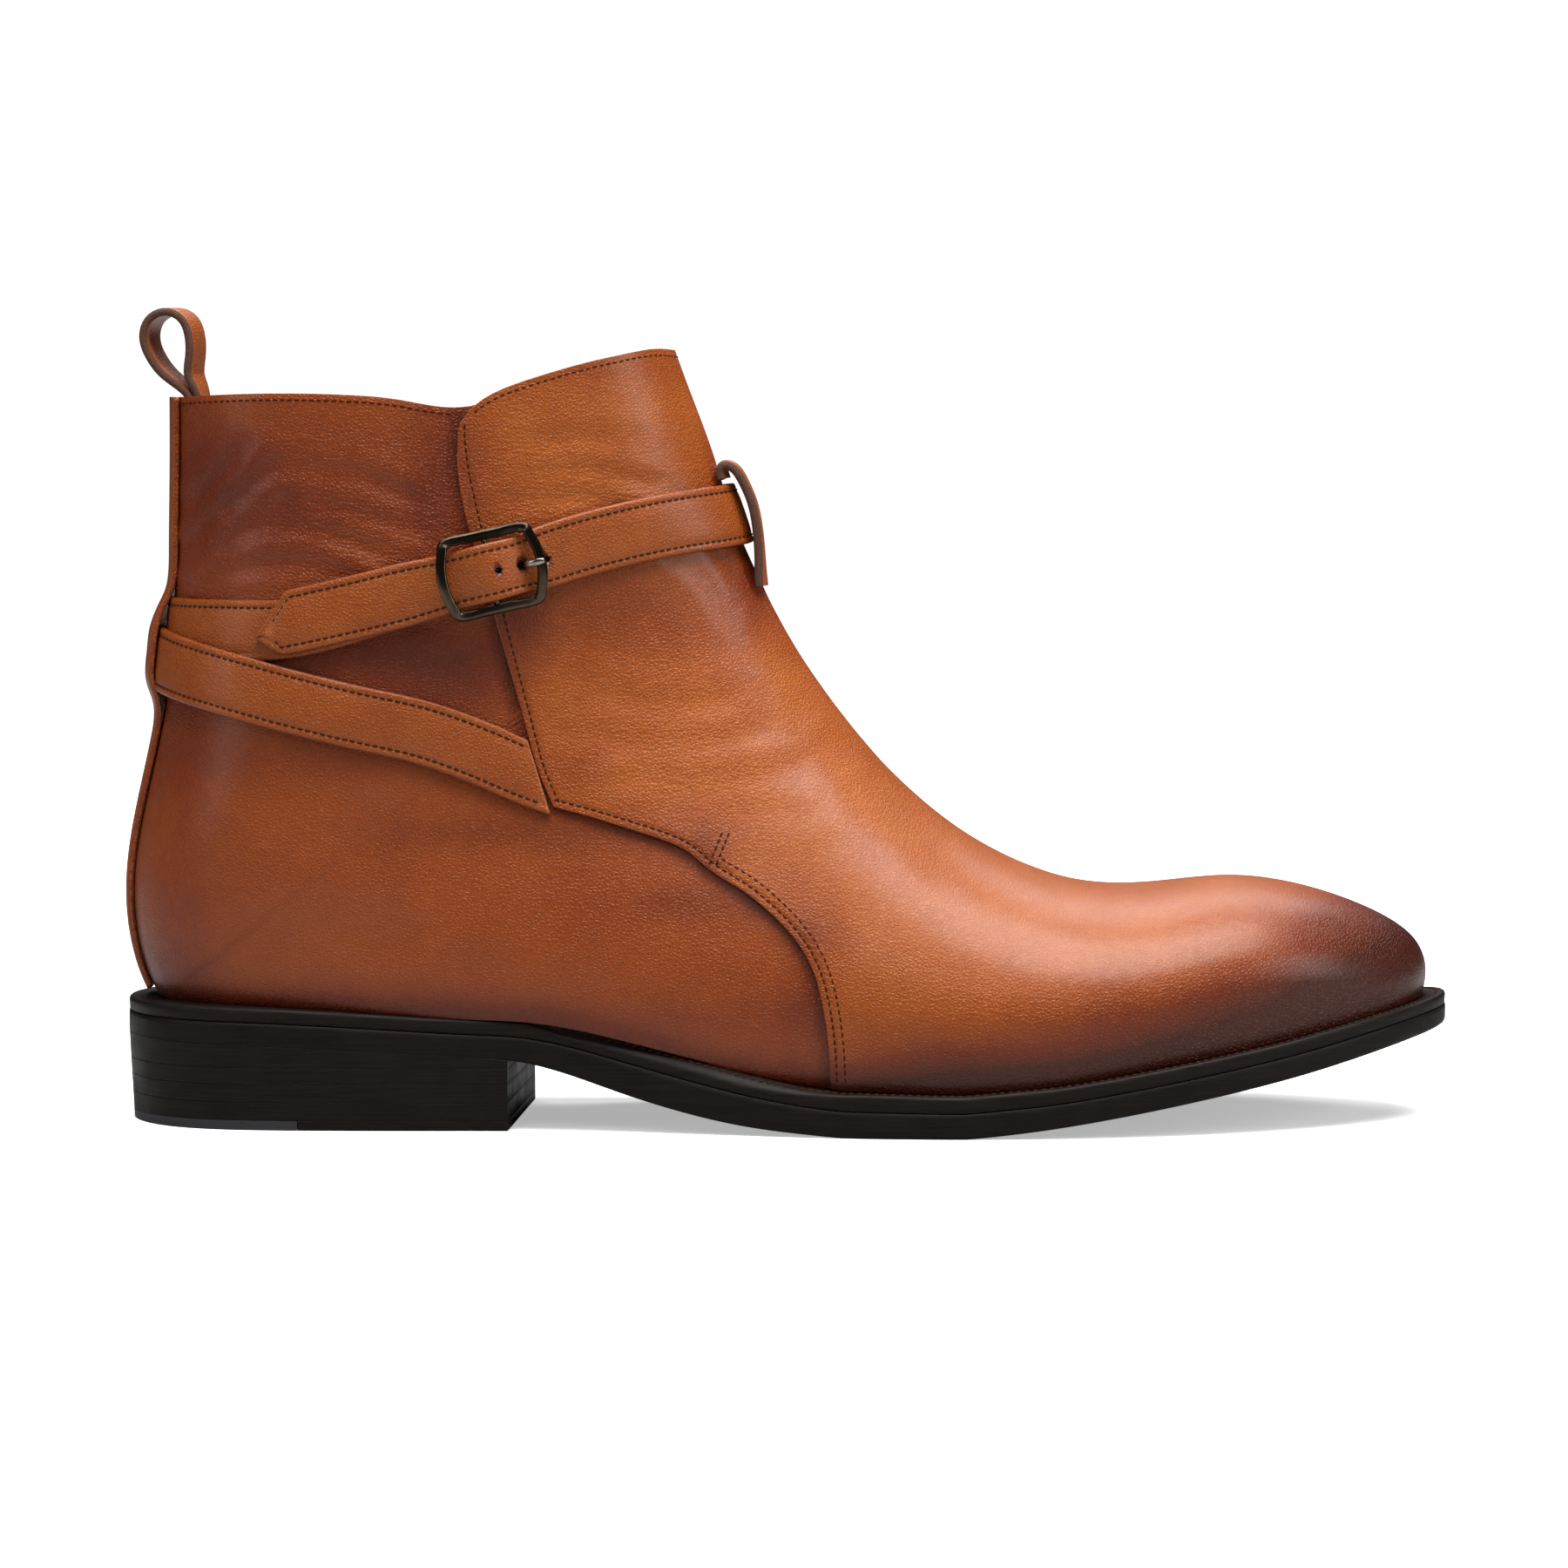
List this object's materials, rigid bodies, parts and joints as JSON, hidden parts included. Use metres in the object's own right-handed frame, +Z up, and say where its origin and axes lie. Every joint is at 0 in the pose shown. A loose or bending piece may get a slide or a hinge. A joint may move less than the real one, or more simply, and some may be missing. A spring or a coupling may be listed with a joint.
{
  "type": "jodhpur boot",
  "caption": "Right ankle boot with a wrap strap: hollow leather upper, front panel with a tall flap, buckled strap round the ankle, pull loop, welted leather sole and stacked heel",
  "frame": {"origin": "On the ground under the middle of the heel, on the flat bottom of the heel's rubber tip", "axes": "+X points to the toe, -Y to the outer (lateral) side that the picture shows, +Z up"},
  "size_m": [0.3065, 0.1006, 0.187],
  "materials": {
    "quarter_calf": "burnished",
    "panel_calf": "burnished",
    "strap_calf": "satin",
    "sole_leather": "satin",
    "welt_leather": "satin",
    "heel_leather": "satin",
    "insole_leather": "matte",
    "tip_rubber": "matte",
    "gunmetal": "polished"
  },
  "bodies": {
    "root": {"back_strip": "quarter_calf", "buckle_frame": "gunmetal", "buckle_prong": "gunmetal", "buckle_strap": "strap_calf", "front_keeper": "strap_calf", "front_panel": "panel_calf", "heel_lift_1": "heel_leather", "heel_lift_2": "heel_leather", "heel_lift_3": "heel_leather", "heel_lift_4": "heel_leather", "heel_rubber_tip": "tip_rubber", "heel_top_piece": "heel_leather", "insole": "insole_leather", "long_strap": "strap_calf", "outsole": "sole_leather", "pull_loop": "strap_calf", "upper": "quarter_calf", "welt": "welt_leather"}
  },
  "joints": []
}
